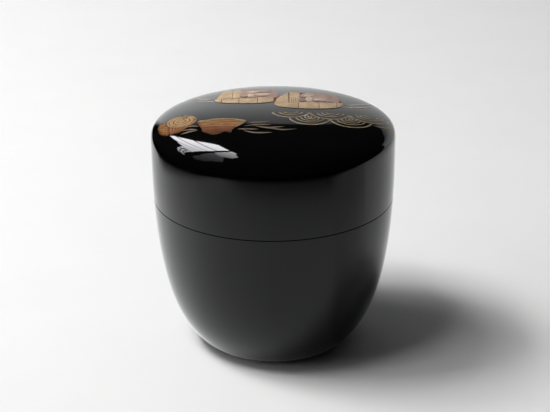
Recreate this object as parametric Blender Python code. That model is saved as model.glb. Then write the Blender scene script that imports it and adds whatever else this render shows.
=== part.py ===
"""Natsume: a turned and lacquered wooden tea caddy with a lift-off lid and gold relief on the lid.

Metres, +Z up. The origin is the centre of the foot, on the surface the caddy stands on, and the
front is -Y. The wooden cores, their coats of lacquer and each gold motif are separate objects.
"""

import math

import bmesh
import bpy
import numpy as np

MM = 0.001

# Outside shape of the closed caddy
RADIUS = 33.0 * MM  # widest radius, high up on the lid
HEIGHT = 65.0 * MM
WIDEST_Z = 56.5 * MM
FLANK_REACH = 59.7 * MM  # depth at which the flank's curve would reach the axis
FLANK_POWER = 2.46
FLANK_BOW = 3.96
SHOULDER_POWER = 5.0
SEAM_Z = 41.7 * MM  # ledge of the body, where the lid comes to rest
SEAM_GAP = 0.3 * MM

# Build-up of the walls, from the outside in
COAT = 0.3 * MM  # one coat of lacquer
GAP = 0.3 * MM  # clearance between neighbouring layers
LID_CORE = 1.0 * MM  # wood in the lid's skirt
CROWN_CORE = 1.8 * MM  # wood under the crown
LIP_CORE = 0.9 * MM  # wood in the lip that the lid slides over
LIP_RISE = 8.5 * MM
LAYER = COAT + GAP

# Foot and inside of the body
FOOT_RING = 2.4 * MM
FOOT_RECESS = 0.8 * MM
FLOOR_CORE = 2.6 * MM
BOWL_POWER = 2.6
BOWL_BOW = 5.0
BOWL_TOP_Z = SEAM_Z - 1.5 * MM  # above this the inside is a straight cylinder
LID_BOWL_Z = SEAM_Z + LIP_RISE + 1.8 * MM
LID_BOWL_POWER = 4.0

# Gold relief, standing on the lid's coat
RELIEF = 0.3 * MM
RELIEF_CELL = 5.0 * MM  # size of the flat cells that follow the crown

TURN_STEPS = 40
FLANK_POINTS = 8
SKIRT_POINTS = 4
CROWN_POINTS = 9
BOWL_POINTS = 8
FOOT_CROWDING = 1.7  # sets the flank's points closer together towards the foot

LID_SKIRT_RADIUS = RADIUS - 2 * LAYER - LID_CORE - COAT
LIP_RADIUS = LID_SKIRT_RADIUS - GAP
MOUTH_RADIUS = LIP_RADIUS - 2 * LAYER - LIP_CORE - COAT
FLOOR_Z = FOOT_RECESS + 2 * LAYER + FLOOR_CORE


# ---------------------------------------------------------------- outlines of the turned pieces

def flank_radius(z, inset=0.0):
    """Radius of the outer wall at height z, up to the widest place."""
    depth = (WIDEST_Z - z) / (FLANK_REACH - inset)
    return (RADIUS - inset) * (1 - depth**FLANK_POWER) ** (1 / FLANK_BOW)


def flank(z_top, z_low, inset=0.0, count=FLANK_POINTS):
    """Points down the outer wall."""
    shares = np.linspace(1, 0, count) ** FOOT_CROWDING
    heights = z_low + (z_top - z_low) * shares
    return [(flank_radius(z, inset), z) for z in heights]


def skirt(z_low, inset=0.0):
    """Points down the lid's side, from just below the widest place."""
    return flank(WIDEST_Z, z_low, inset, SKIRT_POINTS)[1:]


def crown(inset=0.0):
    """Points from the axis over the crown and down to the widest place."""
    rise = HEIGHT - WIDEST_Z - inset
    angles = np.linspace(math.pi / 2, 0, CROWN_POINTS)
    points = [
        (
            (RADIUS - inset) * math.cos(a),
            WIDEST_Z + rise * math.sin(a) ** (2 / SHOULDER_POWER),
        )
        for a in angles
    ]
    return [(0.0, points[0][1])] + points[1:]


def crown_underside(growth):
    """Points from the lid's inner wall up to the axis, growth outside the inner coat's own face."""
    radius = LID_SKIRT_RADIUS + growth
    rise = HEIGHT - 2 * LAYER - CROWN_CORE - COAT + growth - LID_BOWL_Z
    angles = np.linspace(0, math.pi / 2, CROWN_POINTS - 1)
    points = [
        (
            radius * math.cos(a),
            LID_BOWL_Z + rise * math.sin(a) ** (2 / LID_BOWL_POWER),
        )
        for a in angles
    ]
    return points[:-1] + [(0.0, LID_BOWL_Z + rise)]


def bowl(growth):
    """Points from the mouth's straight wall down to the axis, growth outside the bowl's own face."""
    radius = MOUTH_RADIUS + growth
    depth = BOWL_TOP_Z - FLOOR_Z + growth
    angles = np.linspace(0, math.pi / 2, BOWL_POINTS)
    points = [
        (
            radius * math.cos(a) ** (2 / BOWL_BOW),
            BOWL_TOP_Z - depth * math.sin(a) ** (2 / BOWL_POWER),
        )
        for a in angles
    ]
    return points[:-1] + [(0.0, BOWL_TOP_Z - depth)]


# ---------------------------------------------------------------- objects

def clear_scene():
    for obj in list(bpy.data.objects):
        bpy.data.objects.remove(obj, do_unlink=True)


def finish(name, color, roughness, metallic=0.0, coat=0.0):
    """A Principled material."""
    material = bpy.data.materials.new(name)
    material.use_nodes = True
    shader = material.node_tree.nodes["Principled BSDF"]
    shader.inputs["Base Color"].default_value = (*color, 1.0)
    shader.inputs["Roughness"].default_value = roughness
    shader.inputs["Metallic"].default_value = metallic
    shader.inputs["Coat Weight"].default_value = coat
    return material


def joint_frame(name, z):
    """An empty on the caddy's axis that carries one body's pieces."""
    empty = bpy.data.objects.new(name, None)
    empty.location = (0, 0, z)
    empty.empty_display_size = 10 * MM
    bpy.context.scene.collection.objects.link(empty)
    return empty


def add_object(name, mesh, material, parent):
    """Links the mesh, whose points are in the caddy's own frame, under its body's empty."""
    mesh.materials.append(material)
    obj = bpy.data.objects.new(name, mesh)
    bpy.context.scene.collection.objects.link(obj)
    obj.parent = parent
    obj.location = -parent.location
    return obj


def turned(name, outline, material, parent):
    """Turns an outline of (radius, z) points about the axis. A ring's outline starts where it ends."""
    touches_axis = outline[0][0] == 0.0
    ends = len(outline) - 1 if touches_axis else len(outline)
    edges = [(i, (i + 1) % len(outline)) for i in range(ends)]
    mesh = bpy.data.meshes.new(name)
    mesh.from_pydata([(r, 0.0, z) for r, z in outline], edges, [])
    obj = add_object(name, mesh, material, parent)
    screw = obj.modifiers.new("turning", "SCREW")
    screw.axis = "Z"
    screw.steps = TURN_STEPS
    screw.render_steps = TURN_STEPS
    screw.use_merge_vertices = True
    screw.merge_threshold = 0.05 * MM
    screw.use_smooth_shade = True
    return obj


# ---------------------------------------------------------------- body

def build_body(parent, wood, polished, satin):
    """The turned cup, its polished outer coat, its satin inner coat and the coat under the foot."""
    ledge = SEAM_Z
    lip_top = SEAM_Z + LIP_RISE
    foot_z = COAT + GAP
    foot_radius = flank_radius(0.0)
    ring_inside = foot_radius - FOOT_RING

    core = bowl(LAYER)[::-1]
    core += [(MOUTH_RADIUS + LAYER, lip_top - LAYER)]
    core += [(LIP_RADIUS - LAYER, lip_top - LAYER), (LIP_RADIUS - LAYER, ledge - LAYER)]
    core += flank(ledge - LAYER, foot_z, LAYER)
    core += [(ring_inside + LAYER, foot_z), (ring_inside, FOOT_RECESS + LAYER)]
    core += [(0.0, FOOT_RECESS + LAYER)]
    turned("body_wood_core", core, wood, parent)

    outer = [(LIP_RADIUS + GAP, ledge)] + flank(ledge, 0.0)
    outer += flank(ledge - COAT, COAT / 2, COAT)[::-1]
    outer += [(LIP_RADIUS + GAP, ledge - COAT)]
    turned("body_outer_lacquer", outer, polished, parent)

    inner = bowl(0.0)[::-1]
    inner += [(MOUTH_RADIUS, lip_top), (LIP_RADIUS, lip_top)]
    inner += [(LIP_RADIUS, ledge - COAT), (LIP_RADIUS - COAT, ledge - COAT)]
    inner += [(LIP_RADIUS - COAT, lip_top - COAT), (MOUTH_RADIUS + COAT, lip_top - COAT)]
    inner += bowl(COAT)
    turned("body_inner_lacquer", inner, satin, parent)

    base_edge = flank_radius(0.0) - 2 * COAT
    base = [(0.0, FOOT_RECESS + COAT), (ring_inside - COAT, FOOT_RECESS + COAT)]
    base += [(ring_inside, COAT), (base_edge - GAP, COAT), (base_edge, 0.0)]
    base += [(ring_inside, 0.0), (ring_inside - COAT, FOOT_RECESS), (0.0, FOOT_RECESS)]
    turned("base_lacquer", base, satin, parent)


# ---------------------------------------------------------------- lid

def build_lid(parent, wood, polished, satin):
    """The turned cap, its polished outer coat and its satin inner coat."""
    rim = SEAM_Z + SEAM_GAP
    core_inside = LID_SKIRT_RADIUS + LAYER

    core = crown(LAYER) + skirt(rim + LAYER, LAYER)
    core += [(core_inside, rim + LAYER)] + crown_underside(LAYER)
    turned("lid_wood_core", core, wood, parent)

    outer = crown() + skirt(rim)
    outer += [(core_inside, rim), (core_inside, rim + COAT)]
    outer += skirt(rim + COAT, COAT)[::-1] + crown(COAT)[::-1]
    turned("lid_outer_lacquer", outer, polished, parent)

    inner = crown_underside(COAT)[::-1]
    inner += [(LID_SKIRT_RADIUS + COAT, rim), (LID_SKIRT_RADIUS, rim)]
    inner += crown_underside(0.0)
    turned("lid_inner_lacquer", inner, satin, parent)


# ---------------------------------------------------------------- gold relief on the lid

def crown_meridian():
    """Radius, height and arc length from the apex, along the lid's outer face."""
    angles = np.linspace(math.pi / 2, 0, 2000)
    radius = RADIUS * np.cos(angles)
    radius[0] = 0.0
    height = WIDEST_Z + (HEIGHT - WIDEST_Z) * np.sin(angles) ** (2 / SHOULDER_POWER)
    steps = np.hypot(np.diff(radius), np.diff(height))
    return radius, height, np.concatenate([[0.0], np.cumsum(steps)])


MERIDIAN_RADIUS, MERIDIAN_HEIGHT, MERIDIAN_LENGTH = crown_meridian()


def on_crown(x, y, lift):
    """The point lift above the lid, a distance hypot(x, y) from its apex along the crown."""
    length = math.hypot(x, y)
    radius = np.interp(length, MERIDIAN_LENGTH, MERIDIAN_RADIUS)
    height = np.interp(length, MERIDIAN_LENGTH, MERIDIAN_HEIGHT)
    step = 0.1 * MM
    run = np.interp(length + step, MERIDIAN_LENGTH, MERIDIAN_RADIUS) - radius
    fall = height - np.interp(length + step, MERIDIAN_LENGTH, MERIDIAN_HEIGHT)
    slope = math.hypot(run, fall)
    outward = radius + lift * fall / slope
    turn = math.atan2(y, x)
    return outward * math.cos(turn), outward * math.sin(turn), height + lift * run / slope


def relief(name, outline, material, parent):
    """A thin gold piece of this outline in millimetres, measured on the crown from its apex."""
    bm = bmesh.new()
    bm.faces.new([bm.verts.new((x * MM, y * MM, 0.0)) for x, y in outline])
    for axis in range(2):
        values = [v.co[axis] for v in bm.verts]
        first = math.ceil(min(values) / RELIEF_CELL)
        last = math.floor(max(values) / RELIEF_CELL)
        for i in range(first, last + 1):
            place = [0.0, 0.0, 0.0]
            place[axis] = i * RELIEF_CELL
            normal = [0.0, 0.0, 0.0]
            normal[axis] = 1.0
            everything = bm.verts[:] + bm.edges[:] + bm.faces[:]
            bmesh.ops.bisect_plane(
                bm, geom=everything, dist=0.02 * MM, plane_co=place, plane_no=normal
            )
    bmesh.ops.triangulate(bm, faces=bm.faces[:])
    for vert in bm.verts:
        vert.co = on_crown(vert.co.x, vert.co.y, GAP)
    bmesh.ops.recalc_face_normals(bm, faces=bm.faces[:])
    if sum(face.normal.z for face in bm.faces) < 0:
        bmesh.ops.reverse_faces(bm, faces=bm.faces[:])
    mesh = bpy.data.meshes.new(name)
    bm.to_mesh(mesh)
    bm.free()
    obj = add_object(name, mesh, material, parent)
    solidify = obj.modifiers.new("relief", "SOLIDIFY")
    solidify.thickness = RELIEF
    solidify.offset = 1.0
    return obj


def arc(cx, cy, radius, start, end, count, squash=1.0):
    """Points on an arc, angles in degrees."""
    angles = np.radians(np.linspace(start, end, count))
    return [
        (cx + radius * math.cos(a), cy + squash * radius * math.sin(a)) for a in angles
    ]


def blade(root, tip, width, bend):
    """A pointed straw blade from root to tip, bowed sideways by bend."""
    (x0, y0), (x1, y1) = root, tip
    length = math.hypot(x1 - x0, y1 - y0)
    across = ((y0 - y1) / length, (x1 - x0) / length)
    stations = np.linspace(0, 1, 7)

    def edge(side):
        points = []
        for t in stations:
            offset = 4 * bend * t * (1 - t) + side * width / 2 * math.sin(math.pi * t) ** 0.7
            x = x0 + (x1 - x0) * t + across[0] * offset
            y = y0 + (y1 - y0) * t + across[1] * offset
            points.append((x, y))
        return points

    return edge(-1) + edge(1)[-2:0:-1]


def hull(bow, stern, keel_drop, side):
    """A flat-bottomed boat seen from above its side: a bowed keel line and a straighter rail."""
    (x0, y0), (x1, y1) = bow, stern
    count = 7
    keel = []
    for t in np.linspace(0, 1, count):
        drop = keel_drop * (1 - (2 * t - 1) ** 4)
        keel.append((x0 + (x1 - x0) * t, y0 + (y1 - y0) * t - drop))
    rail = [(x1, y1 + 0.5 * side), (x1 - 1.2, y1 + side)]
    rail += [(x0 + 1.0, y0 + side), (x0 - 0.4, y0 + 0.5 * side)]
    return keel + rail


def heap(left, right, base, height, count=9):
    """A rounded bundle of brushwood standing on a straight base line."""
    middle = (left + right) / 2
    half = (right - left) / 2
    top = [
        (middle + half * math.cos(a), base + height * math.sin(a) ** 0.6)
        for a in np.linspace(0, math.pi, count)[1:-1]
    ]
    return [(left, base), (right, base)] + top


STRAW_BLADES = [
    ((-20.0, -8.9), (-23.2, -10.2), 0.7, 0.1),
    ((-19.2, -10.8), (-25.0, -12.2), 0.8, 0.3),
    ((-6.2, -6.6), (0.4, -6.9), 0.7, 0.4),
    ((-7.6, -8.4), (3.4, -10.2), 0.8, 0.5),
    ((-9.2, -10.4), (6.4, -12.0), 0.9, -0.7),
    ((-7.0, -12.6), (-0.2, -14.4), 0.8, -0.3),
]

WAVE_CENTRES = [
    (4.6, 2.0),
    (15.0, 2.0),
    (25.4, 1.6),
    (9.8, -3.6),
    (20.2, -3.8),
    (29.0, -4.6),
]
WAVE_RADIUS = 5.0
EDGE_WAVE_RADIUS = 3.2

WATER_LINES = [
    ((20.6, 8.6), (25.8, 10.6), 0.5, 0.6),
    ((21.0, 13.6), (25.0, 14.6), 0.5, 0.4),
    ((-17.6, 13.6), (-23.0, 15.2), 0.5, 0.4),
    ((-18.0, 18.2), (-22.0, 19.6), 0.5, 0.3),
]


def build_relief(parent, gold, red_gold, pale_gold):
    """Straw hat and raincoat, two laden boats, seigaiha waves and lines of water."""
    relief("straw_hat", arc(-25.6, -4.4, 5.4, 0, 345, 24), gold, parent)

    cape = arc(-14.2, -10.5, 7.6, 150, 30, 9, squash=0.92)
    hem = [(-9.6, -9.2), (-10.6, -13.0), (-14.4, -13.8), (-18.2, -12.6), (-18.8, -9.4)]
    relief("straw_raincoat", cape + hem, red_gold, parent)

    for number, (root, tip, width, bend) in enumerate(STRAW_BLADES, 1):
        relief(f"straw_blade_{number}", blade(root, tip, width, bend), pale_gold, parent)

    relief("near_boat_hull", hull((1.0, 6.0), (18.6, 6.0), 2.4, 3.2), gold, parent)
    relief("near_boat_load", heap(2.2, 18.4, 9.7, 7.2), red_gold, parent)
    relief("far_boat_hull", hull((-15.2, 10.4), (-0.6, 10.4), 2.2, 2.8), gold, parent)
    relief("far_boat_load", heap(-14.6, -1.0, 13.6, 6.6), red_gold, parent)

    for number, (cx, cy) in enumerate(WAVE_CENTRES, 1):
        radius = EDGE_WAVE_RADIUS if number == len(WAVE_CENTRES) else WAVE_RADIUS
        relief(f"wave_{number}", arc(cx, cy, radius, 180, 360, 13), pale_gold, parent)

    for number, (root, tip, width, bend) in enumerate(WATER_LINES, 1):
        relief(f"water_line_{number}", blade(root, tip, width, bend), pale_gold, parent)


def main():
    clear_scene()
    body = joint_frame("body_frame", 0.0)
    lid = joint_frame("lid_frame", SEAM_Z)
    wood = finish("turned_wood", (0.45, 0.29, 0.16), 0.6)
    polished = finish("polished_black_lacquer", (0.004, 0.004, 0.005), 0.03, coat=1.0)
    satin = finish("satin_black_lacquer", (0.006, 0.006, 0.007), 0.16, coat=0.4)
    gold = finish("gold_powder", (0.62, 0.38, 0.16), 0.38, metallic=1.0)
    red_gold = finish("red_gold_powder", (0.50, 0.22, 0.09), 0.42, metallic=1.0)
    pale_gold = finish("pale_gold_powder", (0.55, 0.42, 0.27), 0.4, metallic=1.0)
    build_body(body, wood, polished, satin)
    build_lid(lid, wood, polished, satin)
    build_relief(lid, gold, red_gold, pale_gold)


main()
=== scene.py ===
"""Looks of the lacquered natsume: polished and satin black lacquer over turned wood, with a gold
maki-e picture in low relief on the lid. Lengths are millimetres unless a name says otherwise, and
angles are degrees. The picture is laid out on the lid's crown, measured from its apex.
"""

import math
import random

import bmesh
import bpy
import numpy as np
from mathutils import Matrix, Quaternion, Vector


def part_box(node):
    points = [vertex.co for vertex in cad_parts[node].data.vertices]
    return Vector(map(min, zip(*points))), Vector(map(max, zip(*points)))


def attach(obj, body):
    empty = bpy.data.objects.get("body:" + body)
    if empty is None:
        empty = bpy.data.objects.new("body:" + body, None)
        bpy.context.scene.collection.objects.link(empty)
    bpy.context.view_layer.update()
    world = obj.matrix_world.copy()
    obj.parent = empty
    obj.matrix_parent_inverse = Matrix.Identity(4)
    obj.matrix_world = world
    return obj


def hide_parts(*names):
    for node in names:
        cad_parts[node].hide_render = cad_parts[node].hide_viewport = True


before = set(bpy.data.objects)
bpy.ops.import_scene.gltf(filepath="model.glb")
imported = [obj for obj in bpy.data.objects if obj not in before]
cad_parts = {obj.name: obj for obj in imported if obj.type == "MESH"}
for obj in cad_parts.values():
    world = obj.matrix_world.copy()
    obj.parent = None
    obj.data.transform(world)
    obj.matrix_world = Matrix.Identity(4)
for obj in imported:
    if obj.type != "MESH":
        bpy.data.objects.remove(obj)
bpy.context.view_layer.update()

MM = 0.001


def node_box(name):
    """Lowest and highest corner of a CAD node, in millimetres."""
    low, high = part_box(name)
    return low / MM, high / MM


lid_low, lid_high = node_box("lid_outer_lacquer")
body_low, body_high = node_box("body_outer_lacquer")
lining_low, lining_high = node_box("body_inner_lacquer")
cap_low, cap_high = node_box("lid_inner_lacquer")

# Main sizes, from the CAD nodes in model.glb
RADIUS = lid_high.x
HEIGHT = lid_high.z
RIM_Z = lid_low.z
LEDGE_Z = body_high.z
LIP_RADIUS = lining_high.x
LIP_TOP_Z = lining_high.z
CAP_RADIUS = cap_high.x

# The turned profile's constants, the same as the CAD's
WIDEST_Z = 56.5
FLANK_REACH = 59.7
FLANK_POWER = 2.46
FLANK_BOW = 3.96
SHOULDER_POWER = 5.0
LIP_THICKNESS = 2.4
BOWL_POWER = 2.6
BOWL_BOW = 5.0
ROUND_BOW = 2.0
BOWL_TOP_Z = LEDGE_Z - 1.5
CAP_BOWL_Z = LIP_TOP_Z + 1.8
CAP_TOP_Z = cap_high.z - 0.3
CAP_BOWL_POWER = 4.0
FOOT_RING = 2.4
FOOT_RECESS = 0.8

# How the coats show
SHELL = 0.5  # depth of the visible outer coats
LINING = 0.3
JOIN = 0.02  # hairline between two coats that meet
SEAM = 0.14  # what shows of the gap between the lid and the ledge
TURN_STEPS = 256
HIDDEN_STEPS = 16
AXIS_RADIUS = 1e-6  # below this a point is on the axis

SEED = 7


# ---- turned shapes

def flank_radius(z, inset=0.0):
    depth = (WIDEST_Z - z) / (FLANK_REACH - inset)
    return (RADIUS - inset) * (1 - depth**FLANK_POWER) ** (1 / FLANK_BOW)


def flank(z_top, z_low, inset, count, crowding=1.7):
    """Points down the outer wall, closer together towards the foot."""
    shares = np.linspace(1, 0, count) ** crowding
    return [(flank_radius(z, inset), z) for z in z_low + (z_top - z_low) * shares]


def dome(radius, z, rise, power, bow, count):
    """Points from the rim of a round-cornered dome, or bowl where its rise is negative, to the axis."""
    points = []
    for share in np.linspace(0, 1, count)[:-1]:
        angle = math.pi / 2 * share ** (power / 2)
        points.append((radius * math.cos(angle) ** (2 / bow), z + rise * math.sin(angle) ** (2 / power)))
    return points + [(0.0, z + rise)]


def crown(inset, count):
    """Points from the axis over the crown to the widest place."""
    rise = HEIGHT - WIDEST_Z - inset
    return dome(RADIUS - inset, WIDEST_Z, rise, SHOULDER_POWER, ROUND_BOW, count)[::-1]


def cap_underside(growth, count):
    """Points from the lid's inner wall up to the axis, growth outside the lining's face."""
    rise = CAP_TOP_Z + growth - CAP_BOWL_Z
    return dome(CAP_RADIUS + growth, CAP_BOWL_Z, rise, CAP_BOWL_POWER, ROUND_BOW, count)


def bowl(growth, count):
    """Points from the mouth's straight wall down to the axis, growth outside the bowl's face."""
    fall = FLOOR_Z - growth - BOWL_TOP_Z
    return dome(MOUTH_RADIUS + growth, BOWL_TOP_Z, fall, BOWL_POWER, BOWL_BOW, count)


def soften(outline, corners, steps=5):
    """The outline with the corners at these indices rounded by their radius."""
    result = []
    for i, point in enumerate(outline):
        if i not in corners:
            result.append(point)
            continue
        here = Vector(point)
        before = Vector(outline[i - 1]) - here
        after = Vector(outline[(i + 1) % len(outline)]) - here
        reach = corners[i]
        if before.length > 4 * reach:
            result.append(tuple(here + before.normalized() * 2.5 * reach))
        start = here + before.normalized() * min(reach, before.length * 0.49)
        end = here + after.normalized() * min(reach, after.length * 0.49)
        for step in range(steps + 1):
            t = step / steps
            result.append(tuple(start * (1 - t) ** 2 + here * 2 * t * (1 - t) + end * t * t))
        if after.length > 4 * reach:
            result.append(tuple(here + after.normalized() * 2.5 * reach))
    return result


def link(obj):
    bpy.context.scene.collection.objects.link(obj)
    return obj


def piece_from(bm, name, material, sharp=35.0):
    """A smooth-shaded mesh object from a bmesh, with creases sharper than this kept."""
    bmesh.ops.recalc_face_normals(bm, faces=bm.faces[:])
    mesh = bpy.data.meshes.new(name)
    bm.to_mesh(mesh)
    bm.free()
    mesh.polygons.foreach_set("use_smooth", [True] * len(mesh.polygons))
    mesh.set_sharp_from_angle(angle=math.radians(sharp))
    mesh.materials.append(material)
    return link(bpy.data.objects.new(name, mesh))


def turned(name, outline, material):
    """The closed solid swept by an outline of (radius, z) points round the axis."""
    bm = bmesh.new()
    turns = [2 * math.pi * step / TURN_STEPS for step in range(TURN_STEPS)]
    rings = []
    for radius, z in outline:
        if radius < AXIS_RADIUS:
            rings.append([bm.verts.new((0, 0, z * MM))] * TURN_STEPS)
        else:
            rings.append([
                bm.verts.new((radius * math.cos(a) * MM, radius * math.sin(a) * MM, z * MM)) for a in turns
            ])
    closing = rings[:1] if outline[0][0] >= AXIS_RADIUS else []
    for upper, lower in zip(rings, rings[1:] + closing):
        for step in range(TURN_STEPS):
            after = (step + 1) % TURN_STEPS
            corners = [upper[step], upper[after], lower[after], lower[step]]
            bm.faces.new(list(dict.fromkeys(corners)))
    return piece_from(bm, name, material)


def place(piece, body, slot, *nodes):
    """Lets a piece ride its body and hides the CAD nodes that it takes the place of."""
    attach(piece, body)
    if nodes:
        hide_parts(*nodes)
    return piece


MOUTH_RADIUS = LIP_RADIUS - LIP_THICKNESS
FLOOR_Z = lining_low.z + LINING
FOOT_RADIUS = flank_radius(0.0)


# ---- materials

class Finish:
    """Builds the nodes of one Principled material."""

    def __init__(self, name):
        self.material = bpy.data.materials.new(name)
        self.material.use_nodes = True
        self.nodes = self.material.node_tree.nodes
        self.links = self.material.node_tree.links
        self.shader = self.nodes["Principled BSDF"]
        self.place = self.nodes.new("ShaderNodeTexCoord").outputs["Object"]

    def set(self, **values):
        for key, value in values.items():
            self.shader.inputs[key.replace("_", " ").title().replace("Ior", "IOR")].default_value = value
        return self

    def join(self, output, target):
        self.links.new(output, target)

    def feed(self, output, socket):
        self.links.new(output, self.shader.inputs[socket])

    def stretched(self, scale):
        """Object coordinates multiplied by a scale along each axis."""
        node = self.nodes.new("ShaderNodeMapping")
        node.inputs["Scale"].default_value = scale
        self.join(self.place, node.inputs["Vector"])
        return node.outputs["Vector"]

    def noise(self, scale, detail=4.0, roughness=0.55, vector=None, distortion=0.0):
        node = self.nodes.new("ShaderNodeTexNoise")
        node.inputs["Scale"].default_value = scale
        node.inputs["Detail"].default_value = detail
        node.inputs["Roughness"].default_value = roughness
        node.inputs["Distortion"].default_value = distortion
        self.join(vector or self.place, node.inputs["Vector"])
        return node.outputs["Fac"]

    def grains(self, scale, output="Distance"):
        node = self.nodes.new("ShaderNodeTexVoronoi")
        node.inputs["Scale"].default_value = scale
        self.join(self.place, node.inputs["Vector"])
        return node.outputs[output]

    def ramp(self, value, stops):
        """A colour ramp of (position, colour or grey) stops."""
        node = self.nodes.new("ShaderNodeValToRGB")
        elements = node.color_ramp.elements
        while len(elements) < len(stops):
            elements.new(0.5)
        for element, (position, color) in zip(elements, stops):
            element.position = position
            element.color = (*color, 1.0) if isinstance(color, tuple) else (color, color, color, 1.0)
        self.join(value, node.inputs["Fac"])
        return node.outputs["Color"]

    def spread(self, value, low, high):
        """A noise's usual range turned into low to high."""
        node = self.nodes.new("ShaderNodeMapRange")
        node.inputs["From Min"].default_value = 0.3
        node.inputs["From Max"].default_value = 0.7
        node.inputs["To Min"].default_value = low
        node.inputs["To Max"].default_value = high
        self.join(value, node.inputs["Value"])
        return node.outputs["Result"]

    def multiplied(self, first, second):
        """The product of two colour outputs."""
        node = self.nodes.new("ShaderNodeMix")
        node.data_type = "RGBA"
        node.blend_type = "MULTIPLY"
        node.inputs["Factor"].default_value = 1.0
        colors = [socket for socket in node.inputs if socket.type == "RGBA"]
        self.join(first, colors[0])
        self.join(second, colors[1])
        return next(socket for socket in node.outputs if socket.type == "RGBA")

    def bump(self, height, distance, strength, after=None):
        node = self.nodes.new("ShaderNodeBump")
        node.inputs["Strength"].default_value = strength
        node.inputs["Distance"].default_value = distance
        self.join(height, node.inputs["Height"])
        if after:
            self.join(after, node.inputs["Normal"])
        return node.outputs["Normal"]


def make_polished():
    """Roiro lacquer: deep black, mirror bright, with the faintest unevenness of a hand polish."""
    finish = Finish("polished_black_lacquer").set(IOR=1.46, metallic=0.0)
    stops = [(0.3, (0.0007, 0.0007, 0.0008)), (0.7, (0.0013, 0.0012, 0.0011))]
    tone = finish.ramp(finish.noise(60.0, 3.0), stops)
    finish.feed(tone, "Base Color")
    haze = finish.spread(finish.noise(90.0, 5.0), 0.018, 0.05)
    finish.feed(haze, "Roughness")
    broad = finish.bump(finish.noise(26.0, 0.0), 0.000003, 0.25)
    fine = finish.bump(finish.noise(900.0, 2.0), 0.0000004, 0.2, broad)
    finish.feed(fine, "Normal")
    return finish.material


def make_satin():
    """Plain black lacquer with soft brush lines round the axis."""
    finish = Finish("satin_black_lacquer").set(IOR=1.46)
    stops = [(0.3, (0.0030, 0.0028, 0.0030)), (0.7, (0.0065, 0.0055, 0.0050))]
    tone = finish.ramp(finish.noise(80.0, 4.0), stops)
    finish.feed(tone, "Base Color")
    haze = finish.spread(finish.noise(220.0, 6.0), 0.16, 0.27)
    finish.feed(haze, "Roughness")
    strokes = finish.noise(1.0, 4.0, vector=finish.stretched((120.0, 120.0, 2600.0)))
    finish.feed(finish.bump(strokes, 0.000012, 0.5), "Normal")
    return finish.material


def make_wood():
    """Turned cherry: pale rings with fine pores."""
    finish = Finish("turned_wood_grain").set(IOR=1.45)
    along = finish.stretched((90.0, 60.0, 900.0))
    rings = finish.noise(1.0, 5.0, 0.6, vector=along, distortion=0.6)
    stops = [(0.28, (0.20, 0.105, 0.048)), (0.5, (0.36, 0.21, 0.105)), (0.72, (0.50, 0.32, 0.18))]
    tone = finish.ramp(rings, stops)
    finish.feed(tone, "Base Color")
    finish.feed(finish.spread(rings, 0.42, 0.62), "Roughness")
    pores = finish.noise(1.0, 3.0, vector=finish.stretched((2600.0, 2600.0, 300.0)))
    finish.feed(finish.bump(pores, 0.00003, 0.5), "Normal")
    return finish.material


def make_gold(name, dark, middle, light, roughness, metallic):
    """Sprinkled metal powder: tiny facets of varied tone, thinner in places, over black lacquer."""
    finish = Finish(f"{name}_powder")
    drift = finish.noise(420.0, 4.0, 0.6)
    tone = finish.ramp(drift, [(0.28, dark), (0.5, middle), (0.74, light)])
    facet = finish.grains(15000.0, output="Color")
    sparkle = finish.ramp(facet, [(0.0, 0.72), (1.0, 1.12)])
    finish.feed(finish.multiplied(tone, sparkle), "Base Color")
    finish.set(metallic=metallic)
    finish.feed(finish.spread(finish.noise(5200.0, 2.0), roughness - 0.08, roughness + 0.12), "Roughness")
    coarse = finish.bump(finish.grains(11000.0), 0.00004, 0.55)
    finish.feed(finish.bump(finish.noise(2600.0, 3.0), 0.00003, 0.4, coarse), "Normal")
    return finish.material


polished = make_polished()
satin = make_satin()
wood = make_wood()
# Tone where the powder is thin, middling and thick, then roughness and how metallic it is
gold = make_gold("gold", (0.44, 0.27, 0.10), (0.60, 0.39, 0.17), (0.76, 0.54, 0.28), 0.42, 0.95)
amber_gold = make_gold(
    "amber_gold", (0.22, 0.065, 0.007), (0.38, 0.135, 0.016), (0.74, 0.37, 0.06), 0.32, 1.0)
red_gold = make_gold("red_gold", (0.44, 0.20, 0.06), (0.60, 0.30, 0.09), (0.74, 0.41, 0.14), 0.45, 1.0)
rust_gold = make_gold("rust_gold", (0.23, 0.068, 0.009), (0.35, 0.11, 0.015), (0.47, 0.168, 0.029), 0.45, 1.0)
boat_gold = make_gold("boat_gold", (0.62, 0.42, 0.23), (0.76, 0.54, 0.31), (0.88, 0.68, 0.43), 0.42, 0.8)
pale_gold = make_gold("pale_gold", (0.70, 0.53, 0.38), (0.84, 0.68, 0.51), (0.96, 0.83, 0.67), 0.40, 0.8)
grey_gold = make_gold("grey_gold", (0.42, 0.31, 0.18), (0.58, 0.44, 0.26), (0.72, 0.57, 0.37), 0.42, 0.88)
reed_gold = make_gold("reed_gold", (0.18, 0.125, 0.08), (0.27, 0.20, 0.135), (0.38, 0.29, 0.21), 0.42, 0.95)
brown_gold = make_gold(
    "brown_gold", (0.13, 0.04, 0.008), (0.21, 0.068, 0.014), (0.29, 0.105, 0.026), 0.5, 0.95)
mauve = make_gold("mauve", (0.46, 0.28, 0.22), (0.63, 0.43, 0.36), (0.79, 0.57, 0.49), 0.5, 0.8)


# ---- coats of the body and the lid

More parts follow.
